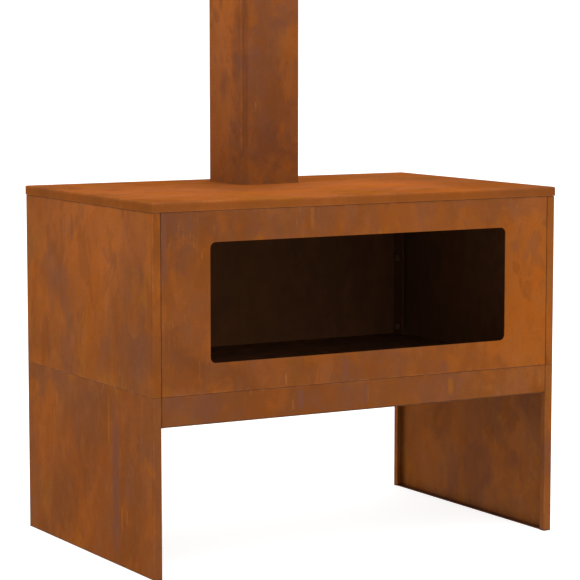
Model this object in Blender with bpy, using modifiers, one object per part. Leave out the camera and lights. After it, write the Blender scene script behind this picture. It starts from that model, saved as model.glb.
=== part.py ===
"""Outdoor fireplace in weathering steel: a folded sheet firebox on two side legs, with a square chimney.

Metres, +Z up, front towards -Y. The origin is the centre of the footprint, on the ground.
Every panel is one folded sheet with its bends, held to the next one by bolts in the four corners.
"""

import itertools
import math

import bmesh
import bpy
from mathutils import Matrix, Vector

# Overall sizes of the body
body_width = 1.000
body_depth = 0.629
body_height = 0.776
seam_height = 0.3785
rail_height = 0.0635

# Sheet, its bends and the gaps between neighbouring pieces
sheet = 0.002
inner_bend = 0.001
fit_gap = 0.0003
seam_gap = 0.0005
panel_gap = 0.0005
relief_width = 0.001

# Lips of the legs below the rails, and the rails' feet
leg_lip = 0.016
rail_foot = 0.020

# Firebox opening in the front panel, by the width of the frame that it leaves
opening_side = 0.1325
opening_sill = 0.0625
opening_head = 0.0644
opening_corner = 0.0125

# Hearth plate, which stands a little proud of the seam and covers it from inside, and its bearers
hearth_sheet = 0.003
hearth_rise = 0.0015
hearth_clearance = 0.001
bearer_spacing = 0.330
bearer_top = 0.060
bearer_foot = 0.015

# Lid and the rails that carry it
lid_lip = 0.020
lid_gap = 0.0008
lid_overhang = 0.0005
lid_rail_drop = 0.040
lid_rail_inset = 0.030
stud_radius = 0.003
stud_run_out = 0.0067
stud_end_distance = 0.105
stud_clearance = 0.0005
lid_nut_wall = 0.0017
lid_nut_height = 0.005
lid_nut_margin = 0.004

# Chimney and its collar
chimney_side = 0.150
chimney_length = 1.500
chimney_corner = 0.003
chimney_rear = 0.078
collar_clearance = 0.001
collar_hole_clearance = 0.0005
collar_rise = 0.060
collar_flange = 0.025

# Corner bolts, their weld nuts and the splices
bolt_radius = 0.004
bolt_hole_clearance = 0.0005
bolt_head_height = 0.0055
bolt_head_chamfer = 0.0012
bolt_washer_rim = 0.0004
bolt_washer_height = 0.0012
bolt_bend_distance = 0.0091
bolt_lip_distance = 0.020
bolt_run_out = 0.002
bolt_end_room = 0.0037
nut_wall = 0.0022
nut_height = 0.0065
splice_sheet = 0.003
splice_bend_distance = 0.001
splice_overlap = 0.012
rail_bolt_shares = (0.29, 0.71)
box_bolt_shares = (0.05, 0.5, 0.95)

# How finely round shapes are cut, what counts as a fold, and how close two points are one
bend_segments = 4
opening_segments = 6
bolt_sides = 16
hole_sides = 16
fold_angle = math.radians(60)
sharp_angle = math.radians(40)
merge_distance = 0.00001
overrun = 0.005

# Places worked out from the sizes
hex_share = 2 / math.sqrt(3)
half_width = body_width / 2
half_depth = body_depth / 2
bend_radius = inner_bend + sheet
hex_width = 2 * (bolt_radius + fit_gap + nut_wall)
bolt_washer_radius = hex_width / 2 * hex_share + bolt_washer_rim
bolt_inset = bend_radius + bolt_bend_distance + bolt_washer_radius
joint_lip = bolt_inset + bolt_lip_distance
splice_width = 2 * (bolt_inset - bend_radius - splice_bend_distance)
side_flange = 2 * sheet + fit_gap + splice_sheet + nut_height + bolt_run_out + bolt_end_room
lid_underside = body_height - sheet
lip_bottom = body_height - lid_lip
panel_foot = seam_height + seam_gap / 2
panel_height = lip_bottom - lid_gap - panel_foot
base_height = seam_height - seam_gap / 2
rail_bottom = seam_height - rail_height
hearth_top = seam_height + hearth_rise
hearth_underside = hearth_top - hearth_sheet
front_width = body_width - 2 * (side_flange + panel_gap)
lip_inner = side_flange - sheet
splice_face = lip_inner - fit_gap
head_bearing = side_flange + panel_gap + sheet + fit_gap
bolt_tip = splice_face - splice_sheet - nut_height - bolt_run_out
lid_nut_width = 2 * (stud_radius + fit_gap + lid_nut_wall)
lid_rail_ledge = bend_radius + lid_nut_width * hex_share + 2 * lid_nut_margin
stud_inset = sheet + fit_gap + (bend_radius + lid_rail_ledge) / 2
stud_length = fit_gap + sheet + fit_gap + lid_nut_height + stud_run_out
stud_y = half_depth - lid_rail_inset - stud_end_distance
chimney_y = half_depth - chimney_rear - chimney_side / 2
chimney_foot = body_height + fit_gap
collar_side = chimney_side - 2 * (sheet + collar_clearance)
collar_flange_top = lid_underside - fit_gap

# Directions
up = Vector((0, 0, 1))
down = -up

# Colours of the rusted steel, and its finish
rust_colour = (0.215, 0.072, 0.020)
dark_rust_colour = (0.120, 0.045, 0.020)
soot_colour = (0.020, 0.012, 0.009)
bolt_colour = (0.090, 0.045, 0.028)
rust_roughness = 0.72
rust_metallic = 0.15


def clear_scene():
    """Remove every object, so that the file starts empty."""
    for obj in list(bpy.data.objects):
        bpy.data.objects.remove(obj, do_unlink=True)


def collection(name):
    """A collection of this name under the scene."""
    made = bpy.data.collections.new(name)
    bpy.context.scene.collection.children.link(made)
    return made


clear_scene()
fireplace = collection("outdoor_fireplace")
cutters = collection("cutters")


def steel(name, colour):
    """Rusted steel of one colour."""
    material = bpy.data.materials.new(name)
    material.use_nodes = True
    shader = material.node_tree.nodes["Principled BSDF"]
    shader.inputs["Base Color"].default_value = (*colour, 1)
    shader.inputs["Roughness"].default_value = rust_roughness
    shader.inputs["Metallic"].default_value = rust_metallic
    return material


def mesh_from(bm, name):
    """Finish a bmesh as mesh data."""
    mesh = bpy.data.meshes.new(name)
    bm.to_mesh(mesh)
    bm.free()
    return mesh


def place(name, mesh, colour, location=(0, 0, 0), turn=0.0):
    """One piece of the fireplace, turned about the upright axis."""
    obj = bpy.data.objects.new(name, mesh)
    obj.location = location
    obj.rotation_euler.z = turn
    fireplace.objects.link(obj)
    if not mesh.materials:
        mesh.materials.append(None)
    obj.material_slots[0].link = "OBJECT"
    obj.material_slots[0].material = steel(name, colour)
    return obj


def helper(name, mesh, location=(0, 0, 0)):
    """A cutter or a shape that is joined to a piece, left out of the model itself."""
    obj = bpy.data.objects.new(name, mesh)
    obj.location = location
    obj.hide_render = True
    obj.display_type = "WIRE"
    cutters.objects.link(obj)
    return obj


def cut(obj, cutter, operation="DIFFERENCE"):
    """Cut one object with another, or join it."""
    modifier = obj.modifiers.new(cutter.name, "BOOLEAN")
    modifier.object = cutter
    modifier.operation = operation
    modifier.solver = "EXACT"
    return modifier


def thicken(obj, thickness=sheet):
    """Give an open sheet its thickness, behind its outer face."""
    modifier = obj.modifiers.new("sheet", "SOLIDIFY")
    modifier.thickness = thickness
    modifier.offset = -1
    modifier.use_even_offset = True
    return modifier


def box_bmesh(low, high):
    """A box between two corners."""
    bm = bmesh.new()
    bmesh.ops.create_cube(bm, size=1)
    size = [top - bottom for bottom, top in zip(low, high)]
    middle = [(top + bottom) / 2 for bottom, top in zip(low, high)]
    bmesh.ops.scale(bm, vec=size, verts=bm.verts)
    bmesh.ops.translate(bm, vec=middle, verts=bm.verts)
    return bm


def box(name, low, high):
    """A box that cuts."""
    return helper(name, mesh_from(box_bmesh(low, high), name))


def prism(sides, radius, low, high, turn=0.0):
    """An upright prism or cylinder."""
    bm = bmesh.new()
    bmesh.ops.create_cone(
        bm,
        cap_ends=True,
        segments=sides,
        radius1=radius,
        radius2=radius,
        depth=high - low,
        matrix=Matrix.Translation((0, 0, (low + high) / 2)) @ Matrix.Rotation(turn, 4, "Z"),
    )
    return bm


def baked(obj):
    """The mesh of a helper with its modifiers applied, and smooth. The helper is removed."""
    bpy.context.view_layer.update()
    graph = bpy.context.evaluated_depsgraph_get()
    mesh = bpy.data.meshes.new_from_object(obj.evaluated_get(graph))
    mesh.shade_smooth()
    mesh.set_sharp_from_angle(angle=sharp_angle)
    bpy.data.objects.remove(obj, do_unlink=True)
    return mesh


# Folded sheets


def drawn_sheet(points, length):
    """An open sheet: a line in the XY plane, drawn up along Z. Its outer face is to the line's right."""
    bm = bmesh.new()
    low = [bm.verts.new((x, y, 0)) for x, y in points]
    edges = [bm.edges.new(pair) for pair in zip(low, low[1:])]
    grown = bmesh.ops.extrude_edge_only(bm, edges=edges)["geom"]
    raised = [item for item in grown if isinstance(item, bmesh.types.BMVert)]
    bmesh.ops.translate(bm, verts=raised, vec=(0, 0, length))
    bmesh.ops.reverse_faces(bm, faces=bm.faces)
    return bm


def score(bm, axis, place_on_axis):
    """Split the sheet along a plane square to one axis."""
    geometry = bm.verts[:] + bm.edges[:] + bm.faces[:]
    bmesh.ops.bisect_plane(
        bm, geom=geometry, dist=merge_distance, plane_co=axis * place_on_axis, plane_no=axis
    )


def fold_foot(bm, half_length, depth):
    """Turn a foot flange back from the bottom of the face, with a relief slit at each end."""
    slit = bend_radius + relief_width
    for sign in (-1, 1):
        score(bm, Vector((1, 0, 0)), sign * (half_length - slit))
        score(bm, Vector((1, 0, 0)), sign * (half_length - slit - relief_width))
    score(bm, Vector((0, 0, 1)), slit)
    slits = []
    for face in bm.faces:
        centre = face.calc_center_median()
        in_slit = half_length - slit - relief_width < abs(centre.x) < half_length - slit
        if in_slit and centre.y < merge_distance and centre.z < slit:
            slits.append(face)
    bmesh.ops.delete(bm, geom=slits, context="FACES")
    foot = []
    for edge in bm.edges:
        middle = (edge.verts[0].co + edge.verts[1].co) / 2
        along = abs(edge.verts[0].co.x - edge.verts[1].co.x) > merge_distance
        inside = abs(middle.x) < half_length - slit - relief_width
        if along and inside and middle.y < merge_distance and middle.z < merge_distance:
            foot.append(edge)
    grown = bmesh.ops.extrude_edge_only(bm, edges=foot)["geom"]
    turned = [item for item in grown if isinstance(item, bmesh.types.BMVert)]
    bmesh.ops.translate(bm, verts=turned, vec=(0, depth, 0))


def round_edges(bm, edges, radius, segments=bend_segments):
    """Round these edges, and shade the round stretches smooth."""
    made = bmesh.ops.bevel(
        bm, geom=edges, offset=radius, segments=segments, profile=0.5, affect="EDGES"
    )
    for face in made["faces"]:
        face.smooth = True


def folds(bm, sign):
    """The edges where the sheet folds away from its outer face, or for -1 towards it."""
    found = []
    for edge in bm.edges:
        if len(edge.link_faces) == 2 and sign * edge.calc_face_angle_signed() > fold_angle:
            found.append(edge)
    return found


def round_bends(bm):
    """Round every bend: its outer radius where the sheet folds away, its inner one where it folds back."""
    bm.normal_update()
    for sign, radius in ((1, bend_radius), (-1, inner_bend)):
        bends = folds(bm, sign)
        if bends:
            round_edges(bm, bends, radius)


def panel_mesh(name, width, height, flange, lip=0.0, foot=0.0):
    """A folded panel: its face looks along -Y, with flanges turned back, and lips and a foot if asked."""
    half = width / 2
    points = [(-half, flange), (-half, 0), (half, 0), (half, flange)]
    if lip:
        points = [(-half + lip, flange), *points, (half - lip, flange)]
    bm = drawn_sheet(points, height)
    if foot:
        fold_foot(bm, half, foot)
    round_bends(bm)
    return mesh_from(bm, name)


# Bolts, nuts and their holes


def bolt_heights():
    """The height of each bolt in a corner, by its name."""
    heights = {}
    for level, share in zip(("rail_low", "rail_high"), rail_bolt_shares):
        heights[level] = rail_bottom + share * rail_height
    for level, share in zip(("box_low", "box_middle", "box_high"), box_bolt_shares):
        heights[level] = panel_foot + share * panel_height
    return heights


def body_corners():
    """The four corners by name, each as its side across and along the body."""
    ends = (("front", -1), ("rear", 1))
    sides = (("left", -1), ("right", 1))
    return {
        f"{end}_{side}": (across, along) for (end, along), (side, across) in itertools.product(ends, sides)
    }


corners = body_corners()


def drill():
    """Every bolt hole of the four corners as one cutter, through lips, flanges and splices."""
    bm = bmesh.new()
    depth = head_bearing + overrun
    for across, along in corners.values():
        for height in bolt_heights().values():
            middle = Vector(
                (across * (half_width - depth / 2 - sheet), along * (half_depth - bolt_inset), height)
            )
            bmesh.ops.create_cone(
                bm,
                cap_ends=True,
                segments=hole_sides,
                radius1=bolt_radius + bolt_hole_clearance,
                radius2=bolt_radius + bolt_hole_clearance,
                depth=depth,
                matrix=Matrix.Translation(middle) @ Matrix.Rotation(math.pi / 2, 4, "Y"),
            )
    return helper("bolt_holes", mesh_from(bm, "bolt_holes"))


def bolt_mesh():
    """A hexagon bolt with a washer face. Its head points up, and bears at zero."""
    reach = head_bearing - bolt_tip
    outline = [
        (0, bolt_washer_height),
        (bolt_washer_radius, bolt_washer_height),
        (bolt_washer_radius, 0),
        (bolt_radius, 0),
        (bolt_radius, -reach),
        (0, -reach),
    ]
    bm = bmesh.new()
    points = [bm.verts.new((x, 0, z)) for x, z in outline]
    for pair in zip(points, points[1:]):
        bm.edges.new(pair)
    shank = helper("bolt_shank", mesh_from(bm, "bolt_shank"))
    turned = shank.modifiers.new("turned", "SCREW")
    turned.steps = bolt_sides
    turned.render_steps = bolt_sides
    turned.use_merge_vertices = True
    turned.merge_threshold = merge_distance
    top = bolt_head_height + bolt_washer_height
    head_bm = prism(6, hex_width / 2 * hex_share, bolt_washer_height / 2, top)
    rim = [edge for edge in head_bm.edges if min(vert.co.z for vert in edge.verts) > top - merge_distance]
    bmesh.ops.bevel(head_bm, geom=rim, offset=bolt_head_chamfer, segments=1, affect="EDGES")
    head = helper("bolt_head", mesh_from(head_bm, "bolt_head"))
    cut(shank, head, "UNION")
    mesh = baked(shank)
    bpy.data.objects.remove(head, do_unlink=True)
    return mesh


def nut_mesh(width, height, bore):
    """A hexagon nut with its bore upright and its foot at zero."""
    blank = helper("nut_blank", mesh_from(prism(6, width / 2 * hex_share, 0, height), "nut_blank"))
    core_bm = prism(hole_sides, bore, -overrun, height + overrun)
    core = helper("nut_core", mesh_from(core_bm, "nut_core"))
    cut(blank, core)
    mesh = baked(blank)
    bpy.data.objects.remove(core, do_unlink=True)
    return mesh


def across_body(across, outward):
    """The turn that lays an upright piece along X, with its top outwards or towards the firebox."""
    return Matrix.Rotation(across * outward * math.pi / 2, 4, "Y")


def place_fixings():
    """The bolts of the four corners, and the weld nuts that no splice carries."""
    bolt = bolt_mesh()
    nut = nut_mesh(hex_width, nut_height, bolt_radius + fit_gap)
    spliced = ("rail_high", "box_low")
    for corner, (across, along) in corners.items():
        y = along * (half_depth - bolt_inset)
        for level, height in bolt_heights().items():
            head = place(f"bolt_{corner}_{level}", bolt, bolt_colour)
            seat = Vector((across * (half_width - head_bearing), y, height))
            head.matrix_world = Matrix.Translation(seat) @ across_body(across, -1)
            if level in spliced:
                continue
            weld_nut = place(f"nut_{corner}_{level}", nut, bolt_colour)
            foot = Vector((across * (half_width - splice_face), y, height))
            weld_nut.matrix_world = Matrix.Translation(foot) @ across_body(across, 1)


def place_splices(holes):
    """A flat bar behind the lips of each corner, with two weld nuts on it."""
    heights = bolt_heights()
    low = heights["rail_high"] - splice_overlap
    high = heights["box_low"] + splice_overlap
    nut = nut_mesh(hex_width, nut_height + splice_sheet / 2, bolt_radius + fit_gap)
    for corner, (across, along) in corners.items():
        y = along * (half_depth - bolt_inset)
        near = across * (half_width - splice_face)
        far = across * (half_width - splice_face + splice_sheet)
        bar = box_bmesh(
            (min(near, far), y - splice_width / 2, low), (max(near, far), y + splice_width / 2, high)
        )
        splice = place(f"splice_{corner}", mesh_from(bar, f"splice_{corner}"), dark_rust_colour)
        for level in ("rail_high", "box_low"):
            foot = Vector((across * (half_width - splice_face + splice_sheet / 2), y, heights[level]))
            weld_nut = helper(f"splice_nut_{corner}_{level}", nut)
            weld_nut.matrix_world = Matrix.Translation(foot) @ across_body(across, 1)
            cut(splice, weld_nut, "UNION")
        cut(splice, holes)


# Body panels


def hearth_seat():
    """The space of the hearth plate and its play, which every lip stays out of."""
    margin = sheet + hearth_clearance / 2
    return box(
        "hearth_seat",
        (-half_width + margin, -half_depth + margin, hearth_underside - fit_gap),
        (half_width - margin, half_depth - margin, hearth_top + fit_gap),
    )


def leg_lip_trim():
    """Narrows the legs' lips below the rails, where no bolt needs them. It clears the leg's foot."""
    reach = half_width - (lip_inner + splice_face) / 2
    return box(
        "leg_lip_trim",
        (-reach, -half_depth + leg_lip, -overrun),
        (reach, half_depth - leg_lip, rail_bottom),
    )


def place_sides(holes, seat):
    """The two legs and the two side panels above them."""
    leg = panel_mesh("leg", body_depth, base_height, side_flange, joint_lip, splice_face)
    side = panel_mesh("side", body_depth, panel_height, side_flange, joint_lip)
    trim = leg_lip_trim()
    for name, across in (("left", -1), ("right", 1)):
        turn = across * math.pi / 2
        leg_obj = place(f"{name}_leg", leg, rust_colour, (across * half_width, 0, 0), turn)
        thicken(leg_obj)
        cut(leg_obj, seat)
        cut(leg_obj, trim)
        cut(leg_obj, holes)
        at = (across * half_width, 0, panel_foot)
        panel = place(f"{name}_side_panel", side, rust_colour, at, turn)
        thicken(panel)
        cut(panel, seat)
        cut(panel, holes)


def opening_cutter():
    """The firebox opening, with rounded corners."""
    reach = half_width - opening_side
    top = panel_foot + panel_height - opening_head
    bm = box_bmesh(
        (-reach, -half_depth - overrun, seam_height + opening_sill),
        (reach, -half_depth + sheet + overrun, top),
    )
    through = [edge for edge in bm.edges if abs(edge.verts[0].co.y - edge.verts[1].co.y) > sheet]
    round_edges(bm, through, opening_corner, opening_segments)
    return helper("opening", mesh_from(bm, "opening"))


def place_front_and_rear(holes, seat):
    """The front and rear panels between the side flanges, and the rails under them."""
    face = panel_mesh("face", front_width, panel_height, joint_lip)
    rail = panel_mesh("rail", front_width, base_height - rail_bottom, joint_lip, foot=rail_foot)
    for name, along, turn in (("front", -1, 0.0), ("rear", 1, math.pi)):
        at = (0, along * half_depth, panel_foot)
        panel = place(f"{name}_panel", face, rust_colour, at, turn)
        thicken(panel)
        cut(panel, seat)
        cut(panel, holes)
        if name == "front":
            cut(panel, opening_cutter())
        at = (0, along * half_depth, rail_bottom)
        rail_obj = place(f"{name}_rail", rail, rust_colour, at, turn)
        thicken(rail_obj)
        cut(rail_obj, seat)
        cut(rail_obj, holes)


def place_hearth():
    """The hearth plate with its corners notched round the splices, on two hat-section bearers."""
    reach_x = half_width - sheet - hearth_clearance
    reach_y = half_depth - sheet - hearth_clearance
    plate_bm = box_bmesh((-reach_x, -reach_y, hearth_underside), (reach_x, reach_y, hearth_top))
    plate = place("hearth_plate", mesh_from(plate_bm, "hearth_plate"), soot_colour)
    notch_x = half_width - lip_inner
    notch_y = half_depth - bolt_inset - splice_width / 2 - hearth_clearance
    for corner, (across, along) in corners.items():
        xs = sorted((across * notch_x, across * (half_width + overrun)))
        ys = sorted((along * notch_y, along * (half_depth + overrun)))
        low = (xs[0], ys[0], hearth_underside - overrun)
        high = (xs[1], ys[1], hearth_top + overrun)
        cut(plate, box(f"hearth_notch_{corner}", low, high))
    foot = rail_bottom + sheet + fit_gap + sheet
    rise = hearth_underside - fit_gap - foot
    length = body_depth - 2 * (bend_radius + hearth_clearance)
    half_top = bearer_top / 2
    outline = [
        (half_top + bearer_foot, 0),
        (half_top, 0),
        (half_top, rise),
        (-half_top, rise),
        (-half_top, 0),
        (-half_top - bearer_foot, 0),
    ]
    hat_bm = drawn_sheet(outline, length)
    round_bends(hat_bm)
    bmesh.ops.rotate(hat_bm, verts=hat_bm.verts, matrix=Matrix.Rotation(math.pi / 2, 3, "X"))
    hat = mesh_from(hat_bm, "bearer")
    for name, across in (("left", -1), ("right", 1)):
        at = (across * bearer_spacing / 2, length / 2, foot)
        thicken(place(f"{name}_bearer", hat, dark_rust_colour, at))


# Lid, chimney and what carries them


def open_box(low, high, open_faces):
    """The walls of a box without the faces that look along the given directions."""
    bm = box_bmesh(low, high)
    bm.normal_update()
    gone = [face for face in bm.faces if any(face.normal.angle(way) < fold_angle for way in open_faces)]
    bmesh.ops.delete(bm, geom=gone, context="FACES")
    return bm


def joined_edges(bm):
    """The edges between two faces."""
    return [edge for edge in bm.edges if len(edge.link_faces) == 2]


def climb(edge):
    """How far an edge climbs from one end to the other."""
    return abs(edge.verts[0].co.z - edge.verts[1].co.z)


def square(name, half_side, low, high):
    """A square cutter on the chimney's axis."""
    bm = box_bmesh((-half_side, -half_side, low), (half_side, half_side, high))
    return helper(name, mesh_from(bm, name), (0, chimney_y, 0))


def stud_places():
    """Where the lid's studs stand, by name."""
    return [
        (corner, across * (half_width - stud_inset), along * stud_y)
        for corner, (across, along) in corners.items()
    ]


def place_lid():
    """The lid: a tray with its lips folded down and mitred, a flue hole and four studs under it."""
    reach_x = half_width + lid_overhang
    reach_y = half_depth + lid_overhang
    bm = open_box((-reach_x, -reach_y, lip_bottom), (reach_x, reach_y, body_height), [down])
    level = [edge for edge in joined_edges(bm) if climb(edge) < merge_distance]
    round_edges(bm, level, bend_radius)
    lid = place("lid", mesh_from(bm, "lid"), rust_colour)
    thicken(lid)
    hole = collar_side / 2 + collar_hole_clearance
    cut(lid, square("flue_hole", hole, lip_bottom, body_height + overrun))
    for name, x, y in stud_places():
        stud_bm = prism(bolt_sides, stud_radius, lid_underside - stud_length, body_height - sheet / 2)
        stud = helper(f"stud_{name}", mesh_from(stud_bm, f"stud_{name}"), (x, y, 0))
        cut(lid, stud, "UNION")


def place_lid_rails():
    """An angle behind each side panel that carries the lid, with a nut on each of its studs."""
    length = body_depth - 2 * lid_rail_inset
    top = lid_underside - fit_gap
    outline = [(0, -lid_rail_drop), (0, 0), (-lid_rail_ledge, 0)]
    angle_bm = drawn_sheet(outline, length)
    round_bends(angle_bm)
    bmesh.ops.rotate(angle_bm, verts=angle_bm.verts, matrix=Matrix.Rotation(math.pi / 2, 3, "X"))
    bmesh.ops.translate(angle_bm, verts=angle_bm.verts, vec=(0, length / 2, 0))
    angle = mesh_from(angle_bm, "lid_rail")
    holes_bm = bmesh.new()
    for _, x, y in stud_places():
        bmesh.ops.create_cone(
            holes_bm,
            cap_ends=True,
            segments=hole_sides,
            radius1=stud_radius + stud_clearance,
            radius2=stud_radius + stud_clearance,
            depth=2 * overrun,
            matrix=Matrix.Translation((x, y, lid_underside)),
        )
    holes = helper("stud_holes", mesh_from(holes_bm, "stud_holes"))
    for name, across in (("left", -1), ("right", 1)):
        at = (across * (half_width - sheet - fit_gap), 0, top)
        rail = place(f"{name}_lid_rail", angle, dark_rust_colour, at, 0.0 if across > 0 else math.pi)
        thicken(rail)
        cut(rail, holes)
    nut = nut_mesh(lid_nut_width, lid_nut_height, stud_radius + fit_gap)
    for name, x, y in stud_places():
        at = (x, y, top - sheet - fit_gap - lid_nut_height)
        place(f"lid_nut_{name}", nut, bolt_colour, at)


def place_collar():
    """The spigot inside the chimney's foot, with its flange under the lid."""
    half = collar_side / 2
    top = body_height + collar_rise
    bm = open_box((-half, -half, collar_flange_top), (half, half, top), [down, up])
    round_edges(bm, joined_edges(bm), chimney_corner)
    lowest = collar_flange_top + merge_distance
    bottom = [edge for edge in bm.edges if max(vert.co.z for vert in edge.verts) < lowest]
    grown = bmesh.ops.extrude_edge_only(bm, edges=bottom)["geom"]
    spread = [item for item in grown if isinstance(item, bmesh.types.BMVert)]
    share = (half + collar_flange) / half
    bmesh.ops.scale(bm, verts=spread, vec=(share, share, 1))
    collar = place("flue_collar", mesh_from(bm, "flue_collar"), soot_colour, (0, chimney_y, 0))
    thicken(collar)


def place_chimney():
    """A square tube that stands on the lid, round the collar."""
    half = chimney_side / 2
    top = chimney_foot + chimney_length
    bm = open_box((-half, -half, chimney_foot), (half, half, top), [down, up])
    round_edges(bm, joined_edges(bm), chimney_corner)
    thicken(place("chimney", mesh_from(bm, "chimney"), rust_colour, (0, chimney_y, 0)))


bolt_holes = drill()
seat_space = hearth_seat()
place_sides(bolt_holes, seat_space)
place_front_and_rear(bolt_holes, seat_space)
place_hearth()
place_splices(bolt_holes)
place_fixings()
place_lid()
place_lid_rails()
place_collar()
place_chimney()
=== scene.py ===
import math

import bmesh
import bpy
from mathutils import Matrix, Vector


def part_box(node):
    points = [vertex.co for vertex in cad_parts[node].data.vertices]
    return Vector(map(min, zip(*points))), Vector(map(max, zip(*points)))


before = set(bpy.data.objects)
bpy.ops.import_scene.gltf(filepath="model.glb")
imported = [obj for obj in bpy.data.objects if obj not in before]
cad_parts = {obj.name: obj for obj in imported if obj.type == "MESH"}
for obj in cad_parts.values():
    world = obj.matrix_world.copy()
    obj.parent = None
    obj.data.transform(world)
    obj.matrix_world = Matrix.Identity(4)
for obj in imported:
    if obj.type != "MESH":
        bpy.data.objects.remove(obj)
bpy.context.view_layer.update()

# The camera stands where the photographer did: 30 degrees to the left, a little above the lid
camera_place = (-2.626, -4.552, 1.121)
camera_turn = math.radians(30.0)
camera_tilt = math.radians(6.28)
camera_lens = 146.4
camera_sensor = 36.0

# Studio: a white floor under soft light that comes mostly from above
floor_side = 60.0
floor_colour = (0.45, 0.45, 0.448)
floor_roughness = 0.9
floor_glow = 1.77
sky_colour = (1.0, 0.997, 0.99)
sky_strength = 1.18
softboxes = {
    "overhead": {"place": (0.2, -0.8, 4.4), "size": 3.2, "power": 75},
    "front": {"place": (-0.6, -5.5, 2.8), "size": 3.0, "power": 45},
}
softbox_aim = (0, 0, 0.5)

# Rust, from its freshest bloom to its oldest stain, and what fire leaves. The stain and soot tones also
# serve as painted shade along seams, corners and bottom edges
fresh = (0.380, 0.104, 0.0240)
clean = (0.310, 0.086, 0.0175)
dull = (0.205, 0.064, 0.0150)
bloom = (0.255, 0.068, 0.0090)
ochre = (0.235, 0.078, 0.0070)
rust = (0.205, 0.058, 0.0100)
aged = (0.178, 0.050, 0.0095)
umber = (0.150, 0.043, 0.0085)
mauve = (0.140, 0.046, 0.0165)
violet = (0.128, 0.046, 0.0250)
stain_and_shade = (0.100, 0.032, 0.0120)
soot_and_shade = (0.045, 0.022, 0.0125)
smoke = (0.120, 0.049, 0.0200)
ash = (0.070, 0.052, 0.042)
black_steel = (0.110, 0.095, 0.080)
worn_edge = (0.300, 0.130, 0.060)
streak = (0.310, 0.115, 0.0240)
rust_tint = (1.0, 0.55, 0.30)
cool_tint = (0.96, 1.03, 1.30)
warm_tint = (1.02, 0.97, 0.78)

# Gloss and relief
rust_specular = 0.02
lid_specular = 0.0
bolt_specular = 0.5
bolt_metallic = 0.5
bump_strength = 0.35
bump_shares = (0.65, 0.35, 0.80)

# Layers of rust, large clouds and then small ones: noise per metre and its detail, the values that the layer
# fades in between, and its share
clouds = [
    {"kind": "umber", "tone": umber, "scale": 4.5, "detail": 3, "start": 0.47, "full": 0.64, "share": 0.80},
    {"kind": "bloom", "tone": bloom, "scale": 6.5, "detail": 4, "start": 0.47, "full": 0.64, "share": 0.80},
    {"kind": "ochre", "tone": ochre, "scale": 10.0, "detail": 4, "start": 0.51, "full": 0.66, "share": 0.55},
    {"kind": "mauve", "tone": mauve, "scale": 6.0, "detail": 5, "start": 0.51, "full": 0.64, "share": 0.80},
]
mottles = [
    {"kind": "umber", "tone": umber, "scale": 15.0, "detail": 4, "start": 0.53, "full": 0.64, "share": 0.42},
    {"kind": "bloom", "tone": bloom, "scale": 17.0, "detail": 4, "start": 0.54, "full": 0.65, "share": 0.38},
    {"kind": "mauve", "tone": mauve, "scale": 19.0, "detail": 4, "start": 0.54, "full": 0.65, "share": 0.40},
]
layer_roughness = 0.55
layer_distortion = 0.6
layer_shift = 3.7

# The other patterns: noise per metre and how it is made
mottle_noise = {"scale": 30.0, "detail": 6, "roughness": 0.62, "distortion": 0.35}
fine_noise = {"scale": 140.0, "detail": 5, "roughness": 0.65}
grit_noise = {"scale": 900.0, "detail": 3, "roughness": 0.70}
ragged_noise = {"scale": 16.0, "detail": 4, "distortion": 0.4}
run_noise = {"scale": 190.0, "detail": 3}
cluster_noise = {"scale": 12.0, "detail": 3}
tint_noises = [
    {"scale": 7.0, "detail": 4, "roughness": 0.6, "distortion": 0.3},
    {"scale": 34.0, "detail": 4, "roughness": 0.6, "distortion": 0.3},
]
tint_shares = (0.8, 0.5)

# How patterns turn into shares: the values between which one fades in, and then the shares at both of them
# where they aren't 0 and 1
hue_turns = (0.36, 0.64)
dark_mottle = (0.50, 0.72, 0.0, 0.15)
light_mottle = (0.50, 0.28, 0.0, 0.15)
dark_skin = (0.42, 0.70, 0.0, 0.18)
light_skin = (0.56, 0.72, 0.0, 0.15)
light_runs = (0.58, 0.70)
light_clusters = (0.56, 0.66, 0.0, 0.38)
dark_runs = (0.42, 0.32)
dark_clusters = (0.44, 0.34, 0.0, 0.30)
patch_edge = (1.15, 0.25, 0.0)
line_breaks = (0.25, 0.50, 0.5, 1.0)
run_breaks = (0.30, 0.60, 0.4, 1.0)
wear_and_highlight_breaks = (0.60, 0.40)
soot_lightness_across = (0.70, 0.15)
smoke_mottle = (0.30, 0.75, 0.10, 0.50)
hearth_mottle = (0.35, 0.70)
ash_skin = (0.58, 0.75, 0.0, 0.5)
bolt_mottle = (0.40, 0.60, 0.3, 0.8)
roughness_mottle = (0.30, 0.70, 0.66, 0.82)
soot_share = 0.88
hearth_share = 0.92

# Scales of a pattern along each axis: the lower one is, the further the pattern is drawn out along it
standing = (1, 1, 0.6)
lying = (0.6, 1, 1)
even = (1, 1, 1)
running = (1, 1, 0.12)
small = (6, 6, 6)

# Sizes of the patterns, and the distance that closes the meshes' seams, in metres
soot_inset = 0.0015
soot_edge = 0.0004
soot_depth = 0.008
patch_spread = (0.14, 0.14, 0.20)
bump_depth = 0.0006
wear_and_highlight_width = 0.0035
flange_run_width = 0.0015
# Insets of the painted shade beside the body's and the chimney's front corners
corner_shade_inset = 0.0045
chimney_shade_inset = 0.011
weld_distance = 0.000002

# The noise's middle, the parts of a line and a run that have their full tone, the share of worn edges with
# their painted highlight, and how far up the lid's lip its line lies
noise_middle = (0.5, 0.5, 0.5)
line_core = 0.3
run_core = 0.4
wear_and_highlight_share = 0.25
lip_line_level = 0.4

# Faces of the sheets that the patterns are placed by
hearth_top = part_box("hearth_plate")[1][2]
lid_low, lid_top = (corner[2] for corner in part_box("lid"))
side, front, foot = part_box("left_leg")[0]
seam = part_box("left_leg")[1][2]
panel_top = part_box("front_panel")[1][2]
rail_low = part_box("front_rail")[0][2]
flue_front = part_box("chimney")[0][1]
flue_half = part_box("chimney")[1][0]
inner_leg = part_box("right_leg")[0][0]

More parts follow.
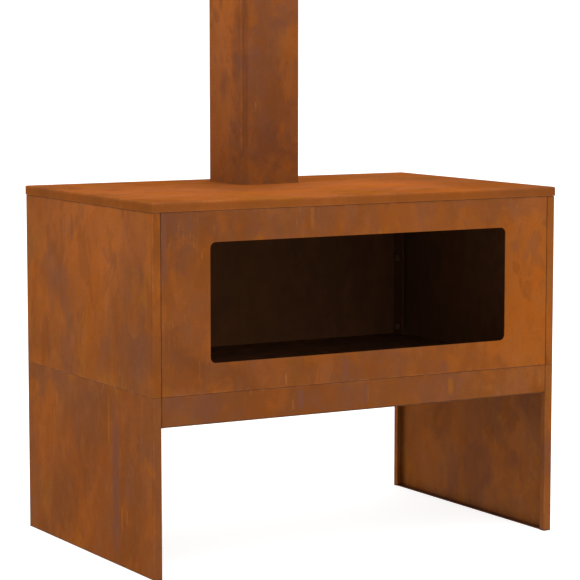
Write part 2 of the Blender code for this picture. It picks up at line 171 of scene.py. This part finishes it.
# What smoke fills: the firebox, and the flue above it
firebox = (
    (side + soot_inset, front + soot_inset, hearth_top - soot_depth),
    (-side - soot_inset, -front - soot_inset, lid_top - soot_inset),
)
flue_low, flue_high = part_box("chimney")
flue = (
    [value + soot_inset for value in flue_low[:2]] + [flue_low[2] - soot_inset],
    [value - soot_inset for value in flue_high[:2]] + [flue_high[2] + soot_inset],
)


class Graph:
    """The node tree of one material, with a short call for each kind of node."""

    def __init__(self, name):
        self.material = bpy.data.materials.new(name)
        self.material.use_nodes = True
        self.tree = self.material.node_tree
        self.tree.nodes.clear()
        self.where = self.node("ShaderNodeTexCoord").outputs["Object"]

    def node(self, kind, inputs=None, **settings):
        """A node of a kind, with its settings and with values or links for its inputs."""
        made = self.tree.nodes.new(kind)
        for key, value in settings.items():
            setattr(made, key, value)
        for key, value in (inputs or {}).items():
            self.feed(made.inputs[key], value)
        return made

    def feed(self, socket, value):
        """Link an output to a socket, or set the socket's own value."""
        if isinstance(value, bpy.types.NodeSocket):
            self.tree.links.new(value, socket)
        elif socket.type == "RGBA":
            socket.default_value = (*value, 1)
        else:
            socket.default_value = value

    def maths(self, operation, a, b=0.0):
        return self.node("ShaderNodeMath", {0: a, 1: b}, operation=operation).outputs[0]

    def vector(self, operation, a, b=(0, 0, 0)):
        return self.node("ShaderNodeVectorMath", {0: a, 1: b}, operation=operation).outputs["Vector"]

    def along(self, axis):
        """How far along one axis of the frame each point is."""
        return self.node("ShaderNodeSeparateXYZ", {0: self.where}).outputs[axis]

    def fade(self, value, low, high, to_low=0.0, to_high=1.0):
        """A soft step from one value to another."""
        inputs = {"Value": value, "From Min": low, "From Max": high, "To Min": to_low, "To Max": to_high}
        return self.node("ShaderNodeMapRange", inputs, interpolation_type="SMOOTHSTEP").outputs[0]

    def mix(self, share, a, b):
        """One colour over another: b covers a by the share."""
        made = self.node("ShaderNodeMix", data_type="RGBA")
        for socket, value in zip(("Factor_Float", "A_Color", "B_Color"), (share, a, b)):
            self.feed(next(item for item in made.inputs if item.identifier == socket), value)
        return next(item for item in made.outputs if item.identifier == "Result_Color")

    def moved(self, offset, stretch):
        """Object coordinates, moved so that no two sheets share a pattern, and stretched."""
        inputs = {"Vector": self.where, "Location": offset, "Scale": stretch}
        return self.node("ShaderNodeMapping", inputs).outputs[0]

    def noise(self, vector, scale, detail, roughness=layer_roughness, distortion=0.0, output="Fac"):
        inputs = {
            "Vector": vector,
            "Scale": scale,
            "Detail": detail,
            "Roughness": roughness,
            "Distortion": distortion,
        }
        return self.node("ShaderNodeTexNoise", inputs).outputs[output]


def patch_share(graph, ragged, centre, size, share):
    """A soft patch with ragged edges: full in its middle, and nothing a little beyond its half sizes."""
    away = graph.vector("SUBTRACT", ragged, centre)
    scaled = graph.vector("DIVIDE", away, size)
    distance = graph.node("ShaderNodeVectorMath", {0: scaled}, operation="LENGTH").outputs["Value"]
    return graph.fade(distance, *patch_edge, share)


def box_share(graph, low, high, soft):
    """1 inside a box and 0 outside it, with soft walls."""
    share = 1.0
    for axis in range(3):
        above = graph.fade(graph.along(axis), low[axis], low[axis] + soft)
        below = graph.fade(graph.along(axis), high[axis] - soft, high[axis], 1.0, 0.0)
        share = graph.maths("MULTIPLY", share, graph.maths("MULTIPLY", above, below))
    return share


def add_layers(graph, colour, layers, offset, stretch, looks):
    """Clouds of older and fresher rust, with the share of each kind scaled by the sheet's looks."""
    for number, layer in enumerate(layers):
        shifted = [value + layer_shift * number + layer["scale"] for value in offset]
        where = graph.moved(shifted, stretch)
        cloud = graph.noise(where, layer["scale"], layer["detail"], distortion=layer_distortion)
        share = min(1.0, layer["share"] * looks.get(layer["kind"], 1.0))
        cover = graph.fade(cloud, layer["start"], layer["full"], 0.0, share)
        colour = graph.mix(cover, colour, layer["tone"])
    return colour


def add_patches(graph, colour, offset, patches):
    """Patches that the photograph shows in their own places."""
    spread = graph.noise(graph.moved(offset, even), **ragged_noise, output="Color")
    shove = graph.vector("MULTIPLY", graph.vector("SUBTRACT", spread, noise_middle), patch_spread)
    ragged = graph.vector("ADD", graph.where, shove)
    for tone, centre, size, share in patches:
        colour = graph.mix(patch_share(graph, ragged, centre, size, share), colour, tone)
    return colour


def add_tints(graph, colour, offset, stretch):
    """Cooler and warmer hues that don't follow the light and dark of the rust."""
    for settings, share in zip(tint_noises, tint_shares):
        shifted = [value - settings["scale"] for value in offset]
        hue = graph.noise(graph.moved(shifted, stretch), **settings)
        tint = graph.mix(graph.fade(hue, *hue_turns), warm_tint, cool_tint)
        colour = graph.mix(share, colour, graph.vector("MULTIPLY", colour, tint))
    return colour


def add_runs(graph, colour, offset):
    """Fine streaks, in clusters, where water has run down."""
    run = graph.noise(graph.moved(offset, running), **run_noise)
    cluster = graph.noise(graph.moved(offset[::-1], standing), **cluster_noise)
    light = graph.maths("MULTIPLY", graph.fade(run, *light_runs), graph.fade(cluster, *light_clusters))
    dark = graph.maths("MULTIPLY", graph.fade(run, *dark_runs), graph.fade(cluster, *dark_clusters))
    return graph.mix(dark, graph.mix(light, colour, streak), stain_and_shade)


def add_single_runs(graph, colour, offset, single_runs):
    """Upright runs that the photograph shows in their own places, and on the chimney a band of painted
    shade: broken across, and faded at both ends.
    """
    broken = graph.fade(graph.noise(graph.moved(offset, running), **run_noise), *run_breaks)
    for axis, place, width, low, high, tone, share in single_runs:
        aside = graph.maths("ABSOLUTE", graph.maths("SUBTRACT", graph.along(axis), place))
        away = graph.maths("ABSOLUTE", graph.maths("SUBTRACT", graph.along("Z"), (low + high) / 2))
        half = (high - low) / 2
        band = graph.fade(aside, width, run_core * width, 0.0, share)
        ends = graph.maths("MULTIPLY", broken, graph.fade(away, half, run_core * half))
        colour = graph.mix(graph.maths("MULTIPLY", band, ends), colour, tone)
    return colour


def add_painted_shade_lines(graph, colour, mottle, shade_lines):
    """Painted shade: bands of one tone along a seam, a corner, a bottom edge or the lid's lip, broken by the
    mottling.
    """
    broken = graph.fade(mottle, *line_breaks)
    for axis, place, width, tone, share in shade_lines:
        away = graph.maths("ABSOLUTE", graph.maths("SUBTRACT", graph.along(axis), place))
        band = graph.fade(away, width, line_core * width, 0.0, share)
        colour = graph.mix(graph.maths("MULTIPLY", band, broken), colour, tone)
    return colour


def add_wear_and_highlight(graph, colour, mottle, node_name):
    """Worn bends and edges, lighter also as a painted highlight: places of a boxy piece that are near two of
    its box's faces at once.
    """
    low, high = (Vector(corner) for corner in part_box(node_name))
    away = graph.vector("ABSOLUTE", graph.vector("SUBTRACT", graph.where, (low + high) / 2))
    parts = graph.node("ShaderNodeSeparateXYZ", {0: away}).outputs
    x, y, z = (graph.maths("SUBTRACT", (high - low)[axis] / 2, parts[axis]) for axis in range(3))
    lesser = graph.maths("MINIMUM", x, y)
    greater = graph.maths("MAXIMUM", x, y)
    middle = graph.maths("MAXIMUM", lesser, graph.maths("MINIMUM", greater, z))
    worn = graph.fade(middle, wear_and_highlight_width, 0.0, 0.0, wear_and_highlight_share)
    return graph.mix(graph.maths("MULTIPLY", worn, graph.fade(mottle, *wear_and_highlight_breaks)), colour, worn_edge)


def rusted(name, offset, base=rust, stretch=standing, looks=None, runs=True, patches=(), single_runs=(),
           shade_lines=(), worn=None):
    """Weathering steel: soft clouds of rust, patches, fine streaks, worn edges with a painted highlight,
    painted shade along seams, corners and bottom edges, and a gritty skin.

    It gives the graph, the colour, the roughness, and the heights of the fine, gritty and mottled relief.
    """
    graph = Graph(name)
    mottle = graph.noise(graph.moved(offset, stretch), **mottle_noise)
    fine = graph.noise(graph.moved(offset, even), **fine_noise)
    grit = graph.noise(graph.moved(offset, even), **grit_noise)

    colour = add_layers(graph, base, clouds, offset, stretch, looks or {})
    colour = add_patches(graph, colour, offset, patches)
    colour = add_layers(graph, colour, mottles, offset, stretch, looks or {})
    colour = add_tints(graph, colour, offset, stretch)
    colour = graph.mix(graph.fade(mottle, *dark_mottle), colour, stain_and_shade)
    colour = graph.mix(graph.fade(mottle, *light_mottle), colour, bloom)
    if runs:
        colour = add_runs(graph, colour, offset)
    if single_runs:
        colour = add_single_runs(graph, colour, offset, single_runs)
    if worn:
        colour = add_wear_and_highlight(graph, colour, mottle, worn)
    colour = add_painted_shade_lines(graph, colour, mottle, shade_lines)
    colour = graph.mix(graph.fade(fine, *dark_skin), colour, stain_and_shade)
    colour = graph.mix(graph.fade(grit, *light_skin), colour, bloom)
    return graph, colour, graph.fade(mottle, *roughness_mottle), (fine, grit, mottle)


def finish_metal(graph, colour, rough, heights, metallic=0.0, specular=rust_specular):
    """Join colour, roughness and the bumps of the rust's skin to the shader."""
    relief = 0.0
    for height, share in zip(heights, bump_shares):
        relief = graph.maths("ADD", relief, graph.maths("MULTIPLY", height, share))
    inputs = {"Strength": bump_strength, "Distance": bump_depth, "Height": relief}
    bump = graph.node("ShaderNodeBump", inputs)
    shader = graph.node(
        "ShaderNodeBsdfPrincipled",
        {
            "Base Color": colour,
            "Roughness": rough,
            "Normal": bump.outputs[0],
            "Metallic": metallic,
            "Specular IOR Level": specular,
            "Specular Tint": rust_tint,
        },
    )
    output = graph.node("ShaderNodeOutputMaterial")
    graph.tree.links.new(shader.outputs[0], output.inputs[0])
    return graph.material


def sheet_steel(name, offset, sooty=firebox, specular=rust_specular, **settings):
    """Rust outside, and soot on the faces inside a box that smoke fills."""
    graph, colour, rough, heights = rusted(name, offset, **settings)
    mottle = heights[2]
    if sooty:
        # The soot is mixed lighter towards the left side of the firebox and darker towards the right
        smoked = graph.fade(graph.along("X"), side, -side, *soot_lightness_across)
        smoked = graph.maths("ADD", smoked, graph.fade(mottle, *smoke_mottle))
        burnt = graph.mix(smoked, soot_and_shade, smoke)
        inside = box_share(graph, *sooty, soot_edge)
        colour = graph.mix(graph.maths("MULTIPLY", inside, soot_share), colour, burnt)
    return finish_metal(graph, colour, rough, heights, specular=specular)


def sooty_steel(name, offset):
    """The hearth: soot with grey ash in its hollows."""
    graph, colour, rough, heights = rusted(name, offset, stretch=even, runs=False)
    fine, mottle = heights[0], heights[2]
    burnt = graph.mix(graph.fade(mottle, *hearth_mottle), soot_and_shade, smoke)
    burnt = graph.mix(graph.fade(fine, *ash_skin), burnt, ash)
    return finish_metal(graph, graph.mix(hearth_share, colour, burnt), rough, heights)


def fastener_steel(name, offset):
    """Bolts and nuts: metal blackened by heat that has started to rust."""
    graph, colour, rough, heights = rusted(name, offset, stretch=small, runs=False)
    mottle = heights[2]
    metal = graph.mix(graph.fade(mottle, *bolt_mottle), colour, black_steel)
    return finish_metal(graph, metal, rough, heights, metallic=bolt_metallic, specular=bolt_specular)


def dress(node_names, material):
    """Give CAD nodes a material, close their seams and keep their flat faces flat where bends join them."""
    for name in node_names:
        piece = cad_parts[name]
        for held in piece.material_slots:
            held.material = material
        weld = piece.modifiers.new("weld", "WELD")
        weld.merge_threshold = weld_distance
        normals = piece.modifiers.new("normals", "WEIGHTED_NORMAL")
        normals.keep_sharp = True


def make_camera():
    """The photograph's view, without shift."""
    data = bpy.data.cameras.new("camera")
    data.lens = camera_lens
    data.sensor_width = camera_sensor
    data.sensor_fit = "HORIZONTAL"
    camera = bpy.data.objects.new("camera", data)
    camera.location = camera_place
    camera.rotation_euler = (math.pi / 2 - camera_tilt, 0, -camera_turn)
    bpy.context.scene.collection.objects.link(camera)
    bpy.context.scene.camera = camera


def make_floor():
    """A wide plane that glows a little, so that it shows white like the photograph's ground."""
    bm = bmesh.new()
    bmesh.ops.create_grid(bm, x_segments=1, y_segments=1, size=floor_side / 2)
    mesh = bpy.data.meshes.new("floor")
    bm.to_mesh(mesh)
    bm.free()
    floor = bpy.data.objects.new("floor", mesh)
    bpy.context.scene.collection.objects.link(floor)
    graph = Graph("floor")
    shader = graph.node(
        "ShaderNodeBsdfPrincipled",
        {
            "Base Color": floor_colour,
            "Roughness": floor_roughness,
            "Emission Color": floor_colour,
            "Emission Strength": floor_glow,
        },
    )
    output = graph.node("ShaderNodeOutputMaterial")
    graph.tree.links.new(shader.outputs[0], output.inputs[0])
    mesh.materials.append(graph.material)


def make_light():
    """A pale sky and two soft boxes."""
    world = bpy.data.worlds.new("studio")
    world.use_nodes = True
    background = world.node_tree.nodes["Background"]
    background.inputs["Color"].default_value = (*sky_colour, 1)
    background.inputs["Strength"].default_value = sky_strength
    bpy.context.scene.world = world
    for name, softbox in softboxes.items():
        data = bpy.data.lights.new(name, "AREA")
        data.shape = "SQUARE"
        data.size = softbox["size"]
        data.energy = softbox["power"]
        light = bpy.data.objects.new(name, data)
        light.location = softbox["place"]
        aim = Vector(softbox_aim) - Vector(softbox["place"])
        light.rotation_euler = aim.to_track_quat("-Z", "Y").to_euler()
        bpy.context.scene.collection.objects.link(light)
    bpy.context.scene.view_settings.view_transform = "Standard"


make_camera()
make_floor()
make_light()

# The marks that the photograph shows, sheet by sheet. A patch has its tone, centre, half sizes and share. A
# single run has the axis that it is placed along, its place and half width there, its low and high ends, its
# tone and its share.
side_patches = [
    (clean, (side, 0.00, 0.70), (0.10, 0.34, 0.16), 0.55),
    (umber, (side, -0.20, 0.44), (0.08, 0.16, 0.12), 0.5),
    (mauve, (side, -0.25, 0.47), (0.08, 0.10, 0.12), 0.8),
    (mauve, (side, -0.22, 0.62), (0.08, 0.07, 0.10), 0.4),
    (mauve, (side, 0.16, 0.60), (0.08, 0.07, 0.08), 0.5),
    (bloom, (side, 0.02, 0.56), (0.08, 0.12, 0.16), 0.5),
]
side_single_runs = [
    ("Y", 0.070, 0.008, 0.665, 0.735, violet, 0.70),
    ("Y", -0.100, 0.010, 0.430, 0.485, violet, 0.80),
    ("Y", -0.096, 0.003, 0.515, 0.550, streak, 0.35),
    ("Y", 0.000, 0.003, 0.505, 0.535, streak, 0.25),
    ("Y", -0.180, 0.008, 0.730, 0.765, mauve, 0.80),
    ("Y", front, flange_run_width, 0.580, 0.940, umber, 0.90),
    ("Y", front, flange_run_width, 0.310, 0.490, umber, 0.70),
]
leg_patches = [
    (umber, (side, 0.14, 0.09), (0.08, 0.10, 0.09), 0.9),
    (umber, (side, -0.20, 0.07), (0.08, 0.10, 0.12), 0.8),
    (umber, (side, 0.19, 0.22), (0.08, 0.06, 0.08), 0.6),
    (stain_and_shade, (side, -0.01, 0.17), (0.08, 0.03, 0.03), 0.35),
    (mauve, (side, -0.05, 0.34), (0.08, 0.12, 0.05), 0.6),
    (bloom, (side, 0.24, 0.26), (0.08, 0.10, 0.12), 0.4),
    (mauve, (side, 0.22, 0.36), (0.08, 0.14, 0.05), 0.7),
]
leg_single_runs = [
    ("Y", -0.137, 0.020, -0.02, 0.37, violet, 1.00),
    ("Y", -0.105, 0.006, 0.24, 0.37, ochre, 0.60),
    ("Y", 0.158, 0.004, 0.27, 0.34, streak, 0.45),
    ("Y", 0.172, 0.003, 0.25, 0.31, streak, 0.35),
    ("Y", -0.166, 0.004, 0.07, 0.14, streak, 0.35),
    ("Y", -0.190, 0.003, 0.09, 0.13, streak, 0.25),
    ("Y", front, flange_run_width, -0.15, 0.55, mauve, 0.90),
]
inner_leg_patches = [
    (bloom, (inner_leg, 0.16, 0.20), (0.03, 0.14, 0.20), 0.5),
    (mauve, (inner_leg, -0.10, 0.20), (0.03, 0.14, 0.22), 0.6),
    (stain_and_shade, (inner_leg, -0.24, 0.25), (0.03, 0.14, 0.14), 0.25),
]
front_patches = [
    (rust, (0.30, front, 0.60), (0.34, 0.10, 0.40), 0.7),
    (bloom, (0.46, front, 0.54), (0.14, 0.10, 0.28), 0.9),
    (mauve, (-0.46, front, 0.72), (0.09, 0.10, 0.10), 0.90),
    (violet, (-0.45, front, 0.75), (0.08, 0.10, 0.05), 0.75),
    (stain_and_shade, (-0.47, front, 0.67), (0.05, 0.10, 0.08), 0.45),
    (mauve, (-0.16, front, 0.74), (0.36, 0.10, 0.07), 0.8),
    (umber, (0.14, front, 0.74), (0.32, 0.10, 0.06), 0.7),
    (mauve, (0.36, front, 0.745), (0.14, 0.10, 0.05), 0.8),
    (aged, (-0.42, front, 0.52), (0.12, 0.10, 0.18), 0.6),
    (umber, (-0.40, front, 0.42), (0.18, 0.10, 0.08), 0.8),
    (umber, (-0.28, front, 0.40), (0.10, 0.10, 0.05), 0.8),
    (stain_and_shade, (-0.45, front, 0.475), (0.035, 0.10, 0.055), 0.45),
    (stain_and_shade, (-0.415, front, 0.44), (0.035, 0.10, 0.035), 0.45),
    (umber, (0.0, front, 0.40), (0.40, 0.10, 0.06), 0.6),
    (bloom, (-0.22, front, 0.42), (0.06, 0.10, 0.04), 0.5),
    (mauve, (0.02, front, 0.41), (0.12, 0.10, 0.05), 0.6),
    (stain_and_shade, (-0.24, front, 0.405), (0.24, 0.10, 0.05), 0.32),
    (mauve, (-0.06, front, 0.405), (0.08, 0.10, 0.05), 0.6),
    (clean, (0.34, front, 0.405), (0.16, 0.10, 0.05), 0.25),
    (stain_and_shade, (-0.36, front, 0.735), (0.22, 0.10, 0.06), 0.22),
    (clean, (0.12, front, 0.735), (0.24, 0.10, 0.05), 0.20),
    (clean, (0.44, front, 0.735), (0.14, 0.10, 0.06), 0.20),
]
front_single_runs = [
    ("X", -0.477, 0.012, 0.59, 0.79, violet, 0.90),
    ("X", -0.189, 0.003, 0.380, 0.410, streak, 0.40),
    ("X", -0.125, 0.006, 0.700, 0.770, streak, 0.25),
    ("X", 0.208, 0.006, 0.380, 0.410, violet, 0.80),
    ("X", -0.045, 0.010, 0.380, 0.440, violet, 0.80),
]
rail_patches = [
    (violet, (-0.38, front, 0.35), (0.14, 0.10, 0.08), 0.35),
    (stain_and_shade, (-0.30, front, 0.35), (0.30, 0.10, 0.08), 0.30),
    (violet, (-0.255, front, 0.35), (0.07, 0.10, 0.06), 0.35),
    (violet, (-0.02, front, 0.35), (0.10, 0.10, 0.06), 0.40),
    (umber, (-0.27, front, 0.35), (0.12, 0.10, 0.05), 0.8),
    (bloom, (-0.21, front, 0.36), (0.04, 0.10, 0.04), 0.3),
    (mauve, (-0.06, front, 0.35), (0.14, 0.10, 0.06), 0.8),
    (umber, (0.08, front, 0.35), (0.10, 0.10, 0.05), 0.6),
    (mauve, (0.17, front, 0.35), (0.05, 0.10, 0.05), 0.7),
    (bloom, (0.38, front, 0.36), (0.14, 0.10, 0.04), 0.35),
    (umber, (0.38, front, 0.33), (0.24, 0.10, 0.03), 0.6),
    (violet, (0.20, front, 0.35), (0.05, 0.10, 0.05), 0.4),
    (dull, (0.16, front, 0.35), (0.14, 0.10, 0.06), 0.15),
    (dull, (0.44, front, 0.35), (0.20, 0.10, 0.06), 0.75),
]
rail_single_runs = [
    ("X", -0.153, 0.010, 0.320, 0.380, violet, 1.00),
    ("X", -0.172, 0.004, 0.325, 0.355, streak, 0.30),
    ("X", 0.006, 0.010, 0.320, 0.380, violet, 0.90),
    ("X", 0.226, 0.010, 0.325, 0.375, ochre, 0.60),
]
lid_patches = [
    (fresh, (-0.30, 0.0, lid_top), (0.36, 0.24, 0.10), 0.6),
    (fresh, (0.22, -0.04, lid_top), (0.34, 0.20, 0.10), 0.9),
    (umber, (-0.10, 0.05, lid_top), (0.12, 0.16, 0.10), 0.5),
    (umber, (0.44, -0.10, lid_top), (0.20, 0.40, 0.10), 0.45),
    (stain_and_shade, (side, 0.20, lid_low), (0.06, 0.09, 0.10), 0.45),
    (umber, (side, -0.04, lid_low), (0.06, 0.10, 0.10), 0.50),
]
chimney_patches = [
    (clean, (-flue_half, 0.16, 1.25), (0.06, 0.14, 0.60), 0.65),
    (umber, (-flue_half, 0.18, 0.93), (0.06, 0.07, 0.14), 0.25),
    (dull, (-flue_half, 0.12, 0.84), (0.06, 0.05, 0.10), 0.55),
    (mauve, (-flue_half, 0.157, 1.02), (0.06, 0.02, 0.05), 0.50),
    (mauve, (0.0, flue_front, 1.05), (0.16, 0.06, 0.60), 0.80),
    (violet, (-0.05, flue_front, 1.07), (0.05, 0.05, 0.09), 0.45),
    (dull, (0.055, flue_front, 1.085), (0.06, 0.06, 0.08), 0.85),
    (mauve, (-0.01, flue_front, 0.98), (0.06, 0.06, 0.09), 0.70),
    (violet, (0.05, flue_front, 1.18), (0.05, 0.06, 0.03), 0.60),
    (dull, (0.065, flue_front, 0.92), (0.03, 0.06, 0.16), 0.40),
    (stain_and_shade, (-0.02, flue_front, 0.87), (0.07, 0.06, 0.05), 0.50),
    (stain_and_shade, (0.04, flue_front, 0.84), (0.05, 0.06, 0.03), 0.40),
]
# Painted shade: a darker band down the chimney's front face beside its left corner
chimney_corner_shade_runs = [
    ("X", chimney_shade_inset - flue_half, 0.010, 0.70, 1.50, stain_and_shade, 0.62),
]

# Painted shade, drawn as lines: axis, place, half width, tone and share
# Painted shade in the gaps where the legs and rails meet the panels above them, and under the lid's lip
seam_shade_line = ("Z", seam, 0.0025, stain_and_shade, 0.25)
lid_gap_shade_line = ("Z", panel_top, 0.0040, stain_and_shade, 0.45)
front_seam_shade_line = ("Z", seam, 0.0020, stain_and_shade, 0.45)
# Painted shade along the rails' and the legs' bottom edges, where little light reaches from below
rail_bottom_shade_line = ("Z", rail_low, 0.0040, soot_and_shade, 0.75)
foot_shade_line = ("Z", foot, 0.0040, soot_and_shade, 0.75)
# Painted shade along the body's and the chimney's front corners
corner_shade_line = ("Y", front + corner_shade_inset, 0.0020, stain_and_shade, 0.5)
flue_corner_shade_line = ("X", corner_shade_inset - flue_half, 0.0025, stain_and_shade, 0.2)
# Partly the lip's darker rust tone and partly painted shade across its middle, which leaves its top and
# bottom edges lighter as painted highlights
lip_shade_band = ("Z", (1 - lip_line_level) * lid_low + lip_line_level * lid_top, 0.014, umber, 0.75)

# What each sheet's rust is made with; the offset keeps its pattern apart from the other sheets' patterns
sheets = {
    "left_side_panel": {
        "offset": (3.1, 7.7, 1.3),
        "looks": {"mauve": 0.8},
        "patches": side_patches,
        "single_runs": side_single_runs,
        "shade_lines": [lid_gap_shade_line, corner_shade_line],
    },
    "right_side_panel": {"offset": (9.2, 2.4, 5.6), "shade_lines": [lid_gap_shade_line]},
    "left_leg": {
        "offset": (5.4, 1.9, 8.8),
        "sooty": None,
        "base": aged,
        "looks": {"mauve": 0.7, "bloom": 0.7},
        "patches": leg_patches,
        "single_runs": leg_single_runs,
        "shade_lines": [foot_shade_line, seam_shade_line, corner_shade_line],
    },
    "right_leg": {
        "offset": (1.7, 6.3, 4.1),
        "sooty": None,
        "base": dull,
        "looks": {"umber": 0.6, "bloom": 0.6},
        "patches": inner_leg_patches,
        "shade_lines": [foot_shade_line, seam_shade_line],
    },
    "front_panel": {
        "offset": (7.9, 4.2, 2.7),
        "base": aged,
        "looks": {"bloom": 0.8, "ochre": 0.8, "umber": 1.3},
        "patches": front_patches,
        "single_runs": front_single_runs,
        "shade_lines": [lid_gap_shade_line, front_seam_shade_line],
    },
    "rear_panel": {"offset": (2.2, 8.6, 6.9), "shade_lines": [lid_gap_shade_line]},
    "front_rail": {
        "offset": (6.6, 3.8, 9.4),
        "sooty": None,
        "base": umber,
        "looks": {"bloom": 0.2, "ochre": 0.6, "umber": 1.2},
        "patches": rail_patches,
        "single_runs": rail_single_runs,
        "shade_lines": [rail_bottom_shade_line, seam_shade_line, front_seam_shade_line],
    },
    "rear_rail": {"offset": (4.8, 9.7, 3.3), "sooty": None, "shade_lines": [rail_bottom_shade_line, seam_shade_line]},
    "lid": {
        "offset": (8.4, 5.5, 7.2),
        "specular": lid_specular,
        "stretch": lying,
        "runs": False,
        "base": clean,
        "looks": {"umber": 0.5, "mauve": 0.5, "bloom": 0.6},
        "patches": lid_patches,
        "shade_lines": [lip_shade_band],
    },
    "chimney": {
        "offset": (1.1, 2.9, 5.2),
        "sooty": flue,
        "looks": {"mauve": 1.3},
        "patches": chimney_patches,
        "single_runs": chimney_corner_shade_runs,
        "shade_lines": [flue_corner_shade_line],
    },
}

# The same for the hearth, the collar, the pieces inside, and the bolts and nuts
hearth_offset = (3.7, 8.1, 2.6)
collar_offset = (6.1, 4.4, 9.9)
inner_offset = (9.5, 9.1, 1.8)
inner_looks = {"bloom": 0.4, "ochre": 0.4}
fastener_offset = (2.5, 3.5, 4.5)

for sheet_name, settings in sheets.items():
    dress([sheet_name], sheet_steel("rust_" + sheet_name, worn=sheet_name, **settings))
dress(["hearth_plate"], sooty_steel("hearth_soot", hearth_offset))
dress(["flue_collar"], sooty_steel("collar_soot", collar_offset))
inner = [
    name
    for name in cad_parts
    if name.endswith(("_bearer", "_lid_rail")) or name.startswith("splice_")
]
dress(inner, sheet_steel("rust_inner", inner_offset, looks=inner_looks))
fasteners = [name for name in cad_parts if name.startswith(("bolt_", "nut_", "lid_nut_"))]
dress(fasteners, fastener_steel("fasteners", fastener_offset))
